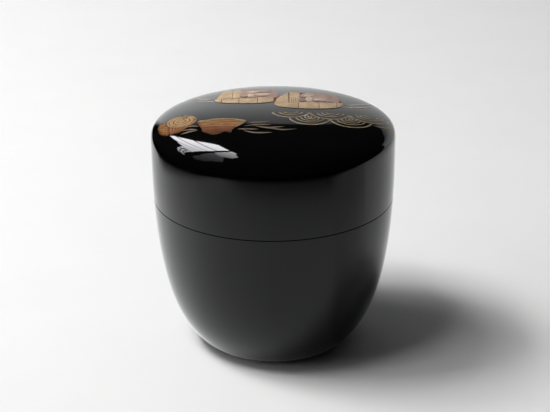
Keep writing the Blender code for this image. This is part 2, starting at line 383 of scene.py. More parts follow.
def build_coats():
    outline = [(LIP_RADIUS + JOIN, LEDGE_Z)] + flank(LEDGE_Z, 0.0, 0.0, 100)
    foot_index = len(outline) - 1
    outline += [(FOOT_RADIUS - SHELL, 0.0), (FOOT_RADIUS - SHELL, SHELL / 2)]
    outline += flank(LEDGE_Z - SHELL, SHELL, SHELL, HIDDEN_STEPS)[::-1]
    outline += [(LIP_RADIUS + JOIN, LEDGE_Z - SHELL)]
    outline = soften(outline, {1: 0.1, foot_index: 0.25})
    place(turned("body_shell", outline, polished), "body", "polished_lacquer", "body_outer_lacquer")

    outline = bowl(0.0, 60)[::-1]
    lip_inside = len(outline)
    outline += [(MOUTH_RADIUS, LIP_TOP_Z), (LIP_RADIUS, LIP_TOP_Z), (LIP_RADIUS, LEDGE_Z - 0.1)]
    outline += [(LIP_RADIUS - LINING, LEDGE_Z - 0.1), (LIP_RADIUS - LINING, LIP_TOP_Z - LINING)]
    outline += [(MOUTH_RADIUS + LINING, LIP_TOP_Z - LINING)]
    outline += bowl(LINING, HIDDEN_STEPS * 2)
    outline = soften(outline, {lip_inside: 0.6, lip_inside + 1: 0.6}, 8)
    place(turned("body_lining", outline, satin), "body", "satin_lacquer", "body_inner_lacquer")

    ring_inside = FOOT_RADIUS - FOOT_RING
    outline = [(0.0, FOOT_RECESS), (ring_inside - 0.5, FOOT_RECESS), (ring_inside, 0.0)]
    outline += [(FOOT_RADIUS - SHELL - JOIN, 0.0), (FOOT_RADIUS - SHELL - JOIN, LINING)]
    outline += [(ring_inside + 0.1, LINING), (ring_inside - 0.4, FOOT_RECESS + LINING)]
    outline += [(0.0, FOOT_RECESS + LINING)]
    outline = soften(outline, {1: 0.3, 2: 0.3})
    place(turned("base_coat", outline, satin), "body", "satin_lacquer", "base_lacquer")

    rim_z = LEDGE_Z + SEAM
    outline = crown(0.0, 80) + flank(WIDEST_Z, rim_z, 0.0, 34, 1.0)[1:]
    rim_index = len(outline) - 1
    flange = CAP_RADIUS + LINING + JOIN
    outline += [(flange, rim_z), (flange, RIM_Z + SHELL)]
    outline += flank(WIDEST_Z, RIM_Z + SHELL, SHELL, HIDDEN_STEPS)[::-1]
    outline += crown(SHELL, HIDDEN_STEPS * 2)[::-1][1:]
    outline = soften(outline, {rim_index: 0.1})
    place(turned("lid_shell", outline, polished), "lid", "polished_lacquer", "lid_outer_lacquer")

    outline = cap_underside(LINING, HIDDEN_STEPS * 2)[::-1]
    outline += [(CAP_RADIUS + LINING, RIM_Z), (CAP_RADIUS, RIM_Z)]
    outline += cap_underside(0.0, 60)
    outline = soften(outline, {HIDDEN_STEPS * 2 + 1: 0.12})
    place(turned("lid_lining", outline, satin), "lid", "satin_lacquer", "lid_inner_lacquer")

    for name in ("body_wood_core", "lid_wood_core"):
        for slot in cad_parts[name].material_slots:
            slot.material = wood


# ---- drawing on the crown

def crown_meridian():
    """Radius, height and arc length from the apex, along the lid's outer face."""
    angles = np.linspace(math.pi / 2, 0, 4000)
    radius = RADIUS * np.cos(angles)
    radius[0] = 0.0
    height = WIDEST_Z + (HEIGHT - WIDEST_Z) * np.sin(angles) ** (2 / SHOULDER_POWER)
    steps = np.hypot(np.diff(radius), np.diff(height))
    return radius, height, np.concatenate([[0.0], np.cumsum(steps)])


MERIDIAN = crown_meridian()


def on_crown(x, y, lift):
    """The point lift above the lid, a distance hypot(x, y) from its apex along the crown, in metres."""
    radii, heights, lengths = MERIDIAN
    length = math.hypot(x, y)
    radius = np.interp(length, lengths, radii)
    height = np.interp(length, lengths, heights)
    run = np.interp(length + 0.1, lengths, radii) - radius
    fall = height - np.interp(length + 0.1, lengths, heights)
    slope = math.hypot(run, fall)
    outward = radius + lift * fall / slope
    turn = math.atan2(y, x)
    level = height + lift * run / slope
    return outward * math.cos(turn) * MM, outward * math.sin(turn) * MM, level * MM


def through(line, step):
    """Points about every step on the smooth line through all but the first and last points."""
    path = []
    for a, b, c, d in zip(line, line[1:], line[2:], line[3:]):
        count = max(2, math.ceil((c - b).length / step))
        for i in range(count):
            t = i / count
            square = 2 * a - 5 * b + 4 * c - d
            cube = 3 * b - a - 3 * c + d
            path.append(0.5 * (2 * b + (c - a) * t + square * t**2 + cube * t**3))
    return path


def curve(points, step=0.35):
    """A smooth line through the points, with a place about every step."""
    points = [Vector(p) for p in points]
    if len(points) < 3:
        points = [points[0], (points[0] + points[-1]) / 2, points[-1]]
    padded = [2 * points[0] - points[1]] + points + [2 * points[-1] - points[-2]]
    return through(padded, step) + [points[-1]]


def ring_of(points, step=0.35):
    """A smooth closed line through the points."""
    points = [Vector(p) for p in points]
    return through(points[-1:] + points + points[:2], step)


def polygon(points, step=0.6):
    """The same straight-sided outline with points about every step."""
    points = [Vector(p) for p in points]
    line = []
    for a, b in zip(points, points[1:] + points[:1]):
        count = max(1, math.ceil((b - a).length / step))
        line += [a.lerp(b, i / count) for i in range(count)]
    return line


TIP = 0.12  # width of a strip's tapered end, as a share of the strip's
SINK = 0.06  # how far a deposit reaches into the lacquer, so that no gap shows
DOME = ((-1.0, 0.0), (-0.86, 0.55), (-0.5, 0.9), (0.0, 1.0), (0.5, 0.9), (0.86, 0.55), (1.0, 0.0))


class Relief:
    """One motif: raised strips and plates drawn flat, then laid on the crown."""

    def __init__(self):
        self.bm = bmesh.new()

    def strip(self, line, width, height, base=0.0, taper=(0.25, 0.25)):
        """A domed strip along a line. The taper is the share of each end that narrows to a point."""
        line = [Vector(p) for p in line]
        lengths = [0.0]
        for a, b in zip(line, line[1:]):
            lengths.append(lengths[-1] + (b - a).length)
        sections = []
        for i, point in enumerate(line):
            ahead = line[min(i + 1, len(line) - 1)] - line[max(i - 1, 0)]
            if ahead.length < 1e-9:
                continue
            across = Vector((-ahead.y, ahead.x)).normalized()
            t = lengths[i] / lengths[-1]
            size = 1.0
            for reach, distance in zip(taper, (t, 1 - t)):
                if distance < reach:
                    size = min(size, TIP + (1 - TIP) * math.sin(math.pi / 2 * distance / reach))
            section = []
            for side, level in DOME:
                x, y = point + across * side * size * width / 2
                lift = base + height * level * size ** 0.5 if level else base - SINK
                section.append(self.bm.verts.new((x, y, lift)))
            sections.append(section)
        for a, b in zip(sections, sections[1:]):
            for i in range(len(DOME)):
                j = (i + 1) % len(DOME)
                self.bm.faces.new((a[i], a[j], b[j], b[i]))
        self.bm.faces.new(sections[0])
        self.bm.faces.new(sections[-1][::-1])

    def plate(self, outline, height, edge=0.12, base=0.0, cell=1.0):
        """A raised plate with rounded edges. Its outline runs round the plate in either direction."""
        outline = [Vector(p) for p in outline]
        area = sum(a.x * b.y - b.x * a.y for a, b in zip(outline, outline[1:] + outline[:1]))
        if area < 0:
            outline.reverse()
        count = len(outline)
        inward = []
        for i in range(count):
            ahead = outline[(i + 1) % count] - outline[i - 1]
            inward.append(Vector((-ahead.y, ahead.x)).normalized())
        part = bmesh.new()
        levels = ((0.0, -SINK), (0.0, 0.5 * height), (0.3 * edge, 0.84 * height), (edge, height))
        rings = []
        for inset, lift in levels:
            ring = []
            for point, normal in zip(outline, inward):
                x, y = point + normal * inset
                ring.append(part.verts.new((x, y, base + lift)))
            rings.append(ring)
        for a, b in zip(rings, rings[1:]):
            for i in range(count):
                j = (i + 1) % count
                part.faces.new((a[i], a[j], b[j], b[i]))
        caps = [part.faces.new(rings[-1]), part.faces.new(rings[0][::-1])]
        bmesh.ops.triangulate(part, faces=caps)
        for axis in range(2):  # cut into cells, so that the plate can follow the crown
            values = [v.co[axis] for v in part.verts]
            for i in range(math.ceil(min(values) / cell), math.floor(max(values) / cell) + 1):
                normal = Vector((axis == 0, axis == 1, 0))
                everything = part.verts[:] + part.edges[:] + part.faces[:]
                bmesh.ops.bisect_plane(
                    part, geom=everything, dist=1e-5, plane_co=normal * i * cell, plane_no=normal
                )
        mesh = bpy.data.meshes.new("part")
        part.to_mesh(mesh)
        part.free()
        self.bm.from_mesh(mesh)
        bpy.data.meshes.remove(mesh)

    def finish(self, name, material, slot, *nodes):
        """Lays the motif on the crown and lets it ride the lid."""
        for vert in self.bm.verts:
            vert.co = on_crown(*vert.co)
        piece = piece_from(self.bm, name, material, 50.0)
        return place(piece, "lid", slot, *nodes)


def arc_points(center, radius, start, end, step=6.0, squash=1.0):
    """Points on an arc between two angles."""
    count = max(3, math.ceil(abs(end - start) / step) + 1)
    return [
        (center[0] + radius * math.cos(a), center[1] + squash * radius * math.sin(a))
        for a in np.radians(np.linspace(start, end, count))
    ]


# ---- the picture

def inside(point, outline):
    """True where the point lies inside the closed outline."""
    x, y = point
    found = False
    for a, b in zip(outline, outline[1:] + outline[:1]):
        if (a[1] > y) != (b[1] > y) and x < (b[0] - a[0]) * (y - a[1]) / (b[1] - a[1]) + a[0]:
            found = not found
    return found


def runs_inside(line, outline, least=4):
    """The stretches of a line that lie inside the outline."""
    runs, run = [], []
    for point in line:
        if inside(point, outline):
            run.append(point)
        else:
            runs.append(run)
            run = []
    runs.append(run)
    return [r for r in runs if len(r) >= least]


def backing(name, outline, height=0.06):
    """The thin brown ground that shows between the strips of a motif."""
    ground = Relief()
    ground.plate(ring_of(outline), height, 0.2)
    ground.finish(name, brown_gold, "red_gold_powder")


HAT_CENTRE = Vector((-24.4, -3.1))
HAT_BRIM = arc_points(HAT_CENTRE, 4.1, -20, 196) + [
    (-28.0, -5.8), (-27.6, -8.2), (-27.1, -11.2), (-25.9, -10.9), (-24.4, -10.5), (-23.3, -9.0),
    (-22.2, -7.4)]
HAT_BEHIND = [
    (-30.4, -1.5), (-31.0, -3.6), (-30.8, -6.2), (-30.2, -8.6), (-28.9, -10.2), (-27.7, -10.9),
    (-27.5, -8.6), (-27.9, -5.8), (-28.5, -3.8), (-29.2, -1.5)]
HAT_RINGS = ((1.66, 0.92), (2.86, 1.0), (3.80, 0.56))  # radius and width of each coil


def build_hat(dice):
    """A coiled straw hat seen from above, with a plaited one behind it."""
    backing("straw_hat_ground", HAT_BRIM)
    backing("straw_hat_behind_ground", HAT_BEHIND, 0.05)
    brim = ring_of(HAT_BRIM)

    hat = Relief()
    hat.plate(arc_points(HAT_CENTRE, 1.0, 0, 345, 15), 0.12, 0.3, base=0.03)
    for radius, width in HAT_RINGS:
        start = dice.uniform(60, 110)
        coil = arc_points(HAT_CENTRE, radius, start, start + 354, 5)
        for run in runs_inside(coil, brim):
            hat.strip(run, width, 0.08, base=0.05, taper=(0.02, 0.02))
    tails = Relief()
    count = 8
    for i in range(count):
        t = i / (count - 1)
        start = Vector((-28.0 + 6.6 * t, -4.6 - 2.4 * math.sin(math.pi * (0.12 + 0.76 * t))))
        end = Vector((-27.3 + 3.4 * t, -11.4 + 1.0 * t))
        middle = (start + end) / 2 + Vector((-0.25 + 0.5 * t, 0))
        for run in runs_inside(curve([start, middle, end], 0.3), brim):
            tails.strip(run, 0.54, 0.11, base=0.06, taper=(0.12, 0.4))
    tails.finish("straw_hat_tails", amber_gold, "gold_powder")
    hat.finish("straw_hat_relief", gold, "gold_powder", "straw_hat")

    plait = Relief()
    behind = ring_of(HAT_BEHIND)
    for lean in (1, -1):
        for i in range(-9, 12):
            start = Vector((-33.0, -6.0 + 1.35 * i))
            line = curve([start, start + Vector((6.5, -5.2 * lean))], 0.3)
            for run in runs_inside(line, behind, 3):
                plait.strip(run, 0.48, 0.07 + 0.02 * (lean > 0), base=0.03, taper=(0.1, 0.1))
    plait.finish("straw_hat_plait", amber_gold, "gold_powder")


COAT_COLLAR = [(-20.0, -4.5), (-17.6, -4.4), (-15.5, -3.8), (-12.0, -4.1), (-9.4, -4.8), (-7.0, -6.3)]
COAT_OUTLINE = COAT_COLLAR + [
    (-8.2, -8.4), (-9.6, -10.3), (-10.7, -11.4), (-11.0, -13.7), (-12.6, -13.0), (-14.0, -14.2),
    (-15.6, -14.5), (-17.0, -13.4), (-18.4, -12.0), (-18.9, -9.5), (-19.8, -6.8)]


def build_raincoat(dice):
    """A cape of layered straw with a ragged hem and a plaited collar; the collar's paler powder is also a
    painted highlight along the cape's top edge.
    """
    outline = ring_of(COAT_OUTLINE)
    backing("straw_raincoat_ground", COAT_OUTLINE)

    coat = Relief()
    skirt = Relief()
    hem = Relief()
    rows = 9
    for row in range(rows):
        t = row / (rows - 1)
        start = Vector((-20.8, -5.7)).lerp(Vector((-19.0, -12.8)), t)
        end = Vector((-6.6, -6.8)).lerp(Vector((-10.2, -13.4)), t**0.85)
        count = 7
        points = []
        for i in range(count):
            s = i / (count - 1)
            sag = 0.9 * (1 - t) * math.sin(math.pi * s) - 0.35 * t * math.sin(math.pi * s)
            points.append(start.lerp(end, s) + Vector((0, sag + 0.13 * dice.uniform(-1, 1))))
        for run in runs_inside(curve(points, 0.3), outline):
            layer = coat if row < rows // 2 else skirt if row < rows - 3 else hem
            layer.strip(run, 0.68, 0.08, base=0.04, taper=(0.1, 0.1))
    strokes = 13
    for i in range(strokes):
        t = (i + 0.5) / strokes
        start = Vector((-18.8 + 8.4 * t, -11.0 - 0.8 * math.sin(math.pi * t) + dice.uniform(-0.3, 0.3)))
        end = Vector((-18.5 + 7.7 * t, -14.8))
        middle = (start + end) / 2 + Vector((dice.uniform(-0.12, 0.12), 0))
        for run in runs_inside(curve([start, middle, end], 0.3), outline, 3):
            hem.strip(run, 0.46, 0.11, base=0.07, taper=(0.15, 0.3))
    hem.finish("straw_raincoat_hem", brown_gold, "red_gold_powder")
    skirt.finish("straw_raincoat_skirt", rust_gold, "red_gold_powder")
    coat.finish("straw_raincoat_relief", red_gold, "red_gold_powder", "straw_raincoat")

    # The collar and the strip down the cape's right edge, in paler powder: partly the collar's own colour,
    # partly a painted highlight along the cape's top edge.
    band = Relief()
    collar = curve([(x, y - 0.2) for x, y in COAT_COLLAR], 0.3)
    band.strip(collar, 0.72, 0.12, base=0.07, taper=(0.05, 0.05))
    band.strip(curve([(-7.3, -6.6), (-8.5, -8.5), (-10.0, -10.4)]), 0.42, 0.10, base=0.06)
    band.finish("straw_raincoat_collar_and_highlight", grey_gold, "pale_gold_powder")


BLADES = (
    (((-22.6, -7.8), (-21.2, -7.5), (-19.7, -8.1)),),
    (((-24.3, -12.0), (-22.4, -11.3), (-19.8, -10.6)), ((-23.9, -9.9), (-22.2, -9.7), (-20.0, -10.2))),
    (((-6.9, -7.4), (-3.6, -7.3), (-0.3, -6.9)),),
    (((-7.7, -9.7), (-4.4, -9.1), (-0.4, -9.2)), ((-4.9, -9.7), (-1.6, -11.1), (3.2, -10.6))),
    (((-3.6, -10.6), (-0.4, -11.7), (2.4, -12.7), (6.2, -12.1)),),
    (((-9.3, -11.7), (-6.6, -11.9), (-3.8, -12.2)), ((-7.6, -13.0), (-4.4, -14.5), (-0.2, -14.5))),
)


def build_blades():
    for number, lines in enumerate(BLADES, 1):
        blade = Relief()
        for line in lines:
            blade.strip(curve(line), 0.85, 0.07, taper=(0.4, 0.4))
        blade.finish(f"straw_blade_{number}_relief", reed_gold, "pale_gold_powder", f"straw_blade_{number}")


def level_on(line, x):
    """Height of a line at x."""
    return float(np.interp(x, [p[0] for p in line], [p[1] for p in line]))


def planks(relief, keel, rail, seams, height, gap=0.08):
    """The side of a boat, split into planks by narrow gaps at the seams."""
    edges = [rail[0][0]] + list(seams) + [rail[-1][0]]
    for i, (left, right) in enumerate(zip(edges, edges[1:])):
        a = left + (gap if i else 0.0)
        b = right - (gap if i < len(edges) - 2 else 0.0)
        xs = np.linspace(a, b, max(3, math.ceil((b - a) / 0.4) + 1))
        lower = [(x, level_on(keel, x)) for x in xs]
        upper = [(x, level_on(rail, x)) for x in xs[::-1]]
        relief.plate(polygon(lower + upper, 0.4), height, 0.09, base=0.03)


def brush(relief, dice, outline, count):
    """Fine crossing twigs inside an outline."""
    xs = [p[0] for p in outline]
    ys = [p[1] for p in outline]
    for _ in range(count):
        middle = Vector((dice.uniform(min(xs), max(xs)), dice.uniform(min(ys), max(ys))))
        turn = math.radians(dice.uniform(-25, 25) + dice.choice((0, 0, 75)))
        ahead = Vector((math.cos(turn), math.sin(turn))) * dice.uniform(0.7, 1.5)
        line = curve([middle - ahead, middle + Vector((0.08, 0.12)), middle + ahead], 0.3)
        for run in runs_inside(line, outline, 5):
            relief.strip(run, 0.24, 0.05, base=0.07)


def crescents(name, marks):
    """Bowed dark strokes of painted shade on a boat's load, each hanging between two ends: x, y, half width,
    drop, thickness.
    """
    shade = Relief()
    for x, y, width, drop, thick in marks:
        points = [(x + width * s, y - drop * (1 - s * s)) for s in (-1, -0.55, 0, 0.55, 1)]
        shade.strip(curve(points), thick, 0.07, base=0.10, taper=(0.35, 0.35))
    shade.finish(name, brown_gold, "red_gold_powder")


def bundles(name, marks):
    """Tied bundles of cut reeds seen from the side: x, y, half width, half height."""
    tied = Relief()
    for x, y, width, height in marks:
        tied.plate(ring_of(arc_points((x, y), width, 0, 340, 20, height / width)), 0.13, 0.22, base=0.04)
        count = 4
        for i in range(count):
            t = (i - (count - 1) / 2) / 2.2
            reach = width * 0.85 * math.cos(t)
            start = Vector((x - reach, y + height * t))
            end = Vector((x + reach, y + height * t * 0.9))
            tied.strip(curve([start, (start + end) / 2 + Vector((0, 0.1)), end]), 0.28, 0.05, base=0.14)
    tied.finish(name, pale_gold, "pale_gold_powder")


def build_boat(side, boat, dice):
    """A flat-bottomed boat: planked side, deck in two parts, and a load with tied bundles on it."""
    backing(f"{side}_boat_ground", boat["ground"], 0.05)
    hull = Relief()
    planks(hull, curve(boat["keel"]), curve(boat["rail"]), boat["seams"], 0.12)
    hull.finish(f"{side}_boat_hull_relief", boat_gold, "gold_powder", f"{side}_boat_hull")

    deck = Relief()
    deck.plate(ring_of(boat["bow"]), 0.12, base=0.03)
    deck.plate(polygon(boat["well"], 0.5), 0.12, base=0.03)
    deck.finish(f"{side}_boat_deck", boat_gold, "gold_powder")

    if boat["slats"]:
        slats = Relief()
        for x, top in boat["slats"]:
            slats.strip(curve([(x, 8.4), (x + 0.03, 10.6), (x, top)]), 0.14, 0.05, base=0.13)
        slats.finish(f"{side}_boat_slats", brown_gold, "red_gold_powder")

    load = Relief()
    load.plate(ring_of(boat["load"]), 0.09, 0.3, base=0.02)
    brush(load, dice, ring_of(boat["load"]), boat["twigs"])
    load.finish(f"{side}_boat_load_relief", mauve, "red_gold_powder", f"{side}_boat_load")
    bundles(f"{side}_boat_bundles", boat["bundles"])
    crescents(f"{side}_boat_shade", boat["shade"])


NEAR_BOAT = {
    "ground": [
        (0.3, 9.0), (0.7, 6.4), (2.5, 4.6), (6.0, 3.4), (10.0, 3.1), (14.0, 3.6), (17.0, 4.7), (18.7, 6.5),
        (19.3, 9.4), (18.4, 12.6), (17.9, 16.7), (13.4, 17.4), (9.2, 17.9), (7.0, 18.8), (4.6, 18.4),
        (3.0, 16.0), (1.4, 13.6), (0.8, 11.0)],
    "keel": [
        (0.2, 9.2), (0.5, 6.6), (1.2, 5.5), (2.6, 4.5), (6.0, 3.5), (10.0, 3.15), (14.0, 3.6), (17.0, 4.6),
        (18.7, 6.2), (19.4, 9.4)],
    "rail": [(0.5, 9.0), (4.0, 8.0), (9.0, 8.3), (14.0, 8.6), (18.0, 9.0), (19.2, 9.5)],
    "seams": (7.0, 12.6, 17.5),
    "bow": [(0.9, 9.2), (2.6, 8.4), (4.2, 8.2), (4.3, 12.0), (4.2, 17.4), (3.0, 15.6), (1.8, 13.6),
            (1.1, 11.4)],
    "well": [(4.55, 8.1), (7.3, 8.2), (7.4, 13.4), (7.6, 18.2), (4.7, 18.4)],
    "slats": [(5.15 + 0.56 * i, 12.6 + 0.3 * i) for i in range(3)],
    "load": [
        (7.2, 8.6), (12.8, 8.8), (17.6, 9.3), (18.3, 12.4), (17.8, 16.9), (13.4, 17.6), (9.0, 18.0),
        (7.3, 14.0)],
    "twigs": 90,
    "bundles": ((9.9, 15.2, 1.4, 0.9), (10.0, 11.8, 1.0, 2.2), (13.1, 11.9, 1.6, 1.1)),
    "shade": (
        (8.1, 10.4, 1.4, 1.0, 0.75), (8.8, 13.9, 2.2, 0.6, 0.6), (12.6, 10.2, 2.2, 0.6, 0.5),
        (15.2, 9.9, 1.8, 0.4, 0.4)),
}
FAR_BOAT = {
    "ground": [
        (-15.8, 12.6), (-15.5, 11.0), (-13.9, 9.7), (-9.0, 8.3), (-5.0, 8.0), (-1.4, 8.5), (0.3, 9.5),
        (1.4, 12.6), (1.6, 16.0), (0.5, 20.2), (-4.6, 21.6), (-9.8, 21.9), (-12.4, 21.8), (-14.4, 19.8),
        (-15.4, 16.0)],
    "keel": [(-16.0, 12.6), (-15.7, 11.0), (-14.0, 9.6), (-9.0, 8.2), (-5.0, 7.9), (-1.4, 8.4), (0.4, 9.4)],
    "rail": [(-15.9, 12.8), (-12.0, 12.6), (-8.0, 12.6), (-4.0, 12.8), (0.2, 13.0)],
    "seams": (-14.1, -9.3, -4.1),
    "bow": [
        (-15.4, 13.1), (-13.0, 12.9), (-11.3, 12.9), (-11.2, 16.6), (-11.3, 21.4), (-13.0, 21.0),
        (-14.3, 19.4), (-15.1, 16.0)],
    "well": [(-11.05, 12.9), (-9.1, 12.9), (-9.0, 16.6), (-8.6, 21.4), (-11.1, 21.5)],
    "slats": [],
    "load": [(-9.0, 12.9), (-4.5, 13.0), (0.9, 13.2), (1.5, 16.0), (0.4, 20.4), (-4.6, 21.8), (-8.9, 21.7)],
    "twigs": 80,
    "bundles": ((-6.1, 15.4, 0.9, 1.4), (-2.8, 16.6, 2.2, 0.9), (-5.6, 19.2, 1.6, 0.8)),
    "shade": (
        (-8.0, 15.0, 1.1, 1.3, 0.8), (-6.4, 13.4, 2.0, 0.7, 0.7), (-2.9, 14.9, 2.2, 0.9, 0.6),
        (-2.6, 18.9, 2.4, 0.7, 0.5)),
}


# Overlapping scales of waves: centre, outer radius and row. A scale hides what lies behind it in a later
# row, and two of one row end where they meet.
WAVES = (
    ((4.8, 1.5), 5.2, 0),
    ((15.4, 1.0), 5.5, 0),
    ((26.0, 0.9), 5.6, 0),
    ((9.9, -3.3), 5.6, 1),
    ((20.8, -3.7), 5.65, 1),
)
# Distance inwards and width of each line, the last in the lower row only
WAVE_STEPS = ((0.0, 0.56), (1.75, 0.48), (3.0, 0.45), (4.2, 0.42), (5.1, 0.42))
WAVE_CLEARANCE = 0.36  # bare lacquer below a scale of the upper row
WAVE_TOP = 0.4
WAVE_REACH = 32.4
SHOULDER_WAVE = ((26.4, -6.0), (28.4, -6.4), (30.6, -5.4), (32.0, -3.6))


def build_waves():
    for number, (centre, outer, row) in enumerate(WAVES, 1):
        wave = Relief()
        hiding = [
            (Vector(c), r + WAVE_CLEARANCE * (row - other)) for c, r, other in WAVES
            if other <= row and c != centre
        ]
        for inward, width in WAVE_STEPS if row else WAVE_STEPS[:-1]:
            start, end = (60, 480) if row else (150, 390)
            run = []
            for point in arc_points(centre, outer - inward, start, end, 3.0) + [None]:
                shown = point is not None and point[1] < WAVE_TOP and math.hypot(*point) < WAVE_REACH
                if shown and not any((Vector(point) - c).length < r for c, r in hiding):
                    run.append(point)
                    continue
                if len(run) > 2:
                    wave.strip(run, width, 0.05, base=0.02, taper=(0.05, 0.05))
                run = []
        wave.finish(f"wave_{number}_relief", grey_gold, "pale_gold_powder", f"wave_{number}")
    wave = Relief()
    wave.strip(curve(SHOULDER_WAVE), 0.5, 0.05, base=0.02)
    wave.finish("wave_6_relief", grey_gold, "pale_gold_powder", "wave_6")


# Line and width
WATER = (
    (((19.3, 5.5), (22.6, 6.3), (26.8, 7.8)), 0.62),
    (((19.5, 8.0), (23.4, 9.3), (27.4, 12.2)), 0.62),
    (((-16.4, 11.2), (-18.8, 12.4), (-21.6, 13.9)), 0.5),
    (((-16.3, 13.2), (-19.4, 15.0), (-22.4, 16.8)), 0.5),
)


def build_water():
    for number, (line, width) in enumerate(WATER, 1):
        water = Relief()
        water.strip(curve(line), width, 0.05, base=0.02, taper=(0.3, 0.4))
        water.finish(f"water_line_{number}_relief", pale_gold, "pale_gold_powder", f"water_line_{number}")


# ---- camera, stage and light

CAMERA_DISTANCE = 441.2
CAMERA_ELEVATION = 23.19
AIM_Z = 34.5
PAN = -0.05
TILT = 0.392
ROLL = 0.45
SENSOR = 36.0
LENS = 104.73


def build_camera():
    angle = math.radians(CAMERA_ELEVATION)
    forward = Vector((0.0, math.cos(angle), -math.sin(angle)))
    right = Vector((1.0, 0.0, 0.0))
    up = right.cross(forward)
    position = Vector((0.0, 0.0, AIM_Z)) - forward * CAMERA_DISTANCE
    turn = Quaternion(up, math.radians(PAN))
    forward, right = turn @ forward, turn @ right
    turn = Quaternion(right, math.radians(TILT))
    forward, up = turn @ forward, turn @ up
    turn = Quaternion(forward, math.radians(ROLL))
    right, up = turn @ right, turn @ up
    camera = link(bpy.data.objects.new("camera", bpy.data.cameras.new("camera")))
    camera.data.sensor_width = SENSOR
    camera.data.lens = LENS
    camera.data.clip_start = 0.01
    camera.data.clip_end = 20.0
    axes = Matrix((right, up, -forward)).transposed().to_4x4()
    camera.matrix_world = Matrix.Translation(position * MM) @ axes
    bpy.context.scene.camera = camera


# The white sheet round the caddy as the lacquer mirrors it, by azimuth from +X: how far it reaches, how
# softly it ends and how bright it is. It is brightest towards the window.
SHEET_REACH = (
    (0, 320), (60, 900), (112, 900), (121, 330), (132, 225), (140, 186), (147, 165), (158, 160),
    (174, 163), (185, 166), (204, 171), (214, 178), (224, 184), (233, 180), (242, 173), (250, 170),
    (319, 166), (345, 235), (360, 320))
SHEET_SOFTNESS = (
    (0, 9.0), (112, 9.0), (135, 4.0), (200, 2.5), (225, 4.0), (240, 7.0), (255, 9.0), (360, 9.0))
SHEET_GLOW = (
    (0, 0.85), (90, 1.05), (135, 1.25), (180, 1.18), (193, 1.14), (211, 0.94), (230, 0.77), (251, 0.67),
    (270, 0.59), (290, 0.57), (311, 0.54), (325, 0.52), (345, 0.68), (360, 0.85))
# Close to the foot: azimuth, where the foot's shade ends, its softness and the extra light just outside it
FOOT_SHADE = (
    (185, 19.0, 1.5, 0.30), (210, 20.5, 1.5, 0.46), (230, 21.5, 1.5, 0.62), (251, 22.5, 1.6, 0.42),
    (270, 24.5, 2.2, 0.16), (290, 30.0, 3.6, 0.0), (311, 41.0, 6.0, 0.0), (331, 64.0, 12.0, 0.0))
FOOT_LIGHT_FADE = 13.0
SHADE_DRAWN = ((160, 0.0), (185, 1.0), (318, 1.0), (340, 0.0))  # share of the drawn shade, by azimuth
FLOOR_REACH = 3000.0
PAPER_ALBEDO = 0.81
SWEEP_START = 430.0
SWEEP_DEPTH = 170.0
BACKDROP_TOP = ((-900, 372), (-80, 368), (0, 347), (60, 324), (130, 313), (300, 330), (900, 330))


def paper():
    finish = Finish("paper").set(roughness=0.9, IOR=1.4)
    tone = finish.ramp(finish.noise(35.0, 3.0), [(0.3, (0.824, 0.826, 0.830)), (0.7, (0.840, 0.842, 0.846))])
    finish.feed(tone, "Base Color")
    finish.shader.inputs["Specular IOR Level"].default_value = 0.1
    return finish.material


def along(table, value):
    return float(np.interp(value, [row[0] for row in table], [row[1] for row in table]))


def bare_material(name):
    """A material with only an output, and its node tree."""
    material = bpy.data.materials.new(name)
    material.use_nodes = True
    tree = material.node_tree
    tree.nodes.clear()
    return material, tree, tree.nodes.new("ShaderNodeOutputMaterial").inputs["Surface"]


def reflected_paper():
    """The white sheet as the lacquer sees it: lit and shaded like the floor, darker by vertex colour, with
    painted light and painted shade in its glow colour.
    """
    material, tree, surface = bare_material("reflected_paper")
    total = tree.nodes.new("ShaderNodeAddShader")
    shaders = (("tone", "ShaderNodeBsdfDiffuse"), ("glow", "ShaderNodeEmission"))
    for part, (layer, kind) in zip(total.inputs, shaders):
        attribute = tree.nodes.new("ShaderNodeVertexColor")
        attribute.layer_name = layer
        shader = tree.nodes.new(kind)
        tree.links.new(attribute.outputs["Color"], shader.inputs["Color"])
        tree.links.new(shader.outputs[0], part)
    tree.links.new(total.outputs[0], surface)
    return material


def seen_only_by(obj, ray):
    """Lets only one kind of ray meet the object."""
    for kind in ("camera", "diffuse", "glossy", "transmission", "volume_scatter", "shadow"):
        setattr(obj, f"visible_{kind}", kind == ray)
    return obj


class Mirrored:
    """A mesh that shows only in the lacquer, as bright as its vertex colours say."""

    def __init__(self):
        self.bm = bmesh.new()
        self.tone = self.bm.verts.layers.float_color.new("tone")
        self.glow = self.bm.verts.layers.float_color.new("glow")

    def paint(self, vert, glow, tint, tone=(0.0, 0.0, 0.0)):
        vert[self.tone] = (*tone, 1.0)
        vert[self.glow] = (*(glow * share for share in tint), 1.0)

    def finish(self, name, smooth=False):
        mesh = bpy.data.meshes.new(name)
        self.bm.to_mesh(mesh)
        self.bm.free()
        mesh.polygons.foreach_set("use_smooth", [smooth] * len(mesh.polygons))
        mesh.materials.append(reflected_paper())
        obj = seen_only_by(link(bpy.data.objects.new(name, mesh)), "glossy")


def build_floor(white):
    bm = bmesh.new()
    corners = ((-FLOOR_REACH, -FLOOR_REACH), (FLOOR_REACH, -FLOOR_REACH),
               (FLOOR_REACH, FLOOR_REACH), (-FLOOR_REACH, FLOOR_REACH))
    bm.faces.new([bm.verts.new((x * MM, y * MM, 0.0)) for x, y in corners])
    floor = piece_from(bm, "floor", white)
    floor.visible_glossy = False


def join_rings(bm, rings):
    """Faces between closed rings of points."""
    count = len(rings[0])
    for a, b in zip(rings, rings[1:]):
        for i in range(count):
            j = (i + 1) % count
            bm.faces.new((a[i], b[i], b[j], a[j]))


BACKGROUND = (0.82, 0.825, 0.835, 1.0)
HAZE_START = 430.0
HAZE_FULL = 1300.0
HAZE_REACH = 1.5 * FLOOR_REACH  # past the floor's corners
HAZE_Z = 0.5


